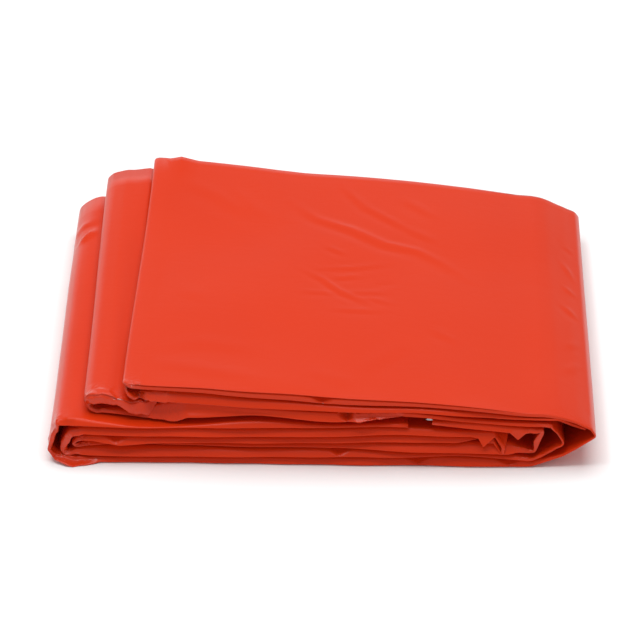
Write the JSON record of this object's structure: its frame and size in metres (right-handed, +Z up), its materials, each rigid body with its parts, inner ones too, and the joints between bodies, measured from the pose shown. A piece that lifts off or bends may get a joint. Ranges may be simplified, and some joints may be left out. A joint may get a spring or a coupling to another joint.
{
  "type": "emergency foil blanket, folded",
  "caption": "Thin metallised film sheet folded back and forth into a flat packet, with stepped folds at one end and one wrap over the other.",
  "frame": {"origin": "middle of the packet's footprint, on the surface that it rests on", "axes": "+X along the packet's long side towards the rounded wrap, +Y to its back edge, +Z up through its layers"},
  "size_m": [0.2436, 0.2099, 0.0378],
  "materials": {
    "metallised_film": "thin polyethylene film, satin orange outside and metallised silver inside, soft crinkles and fold creases"
  },
  "bodies": {
    "root": {"folded_blanket": "metallised_film"}
  },
  "joints": []
}
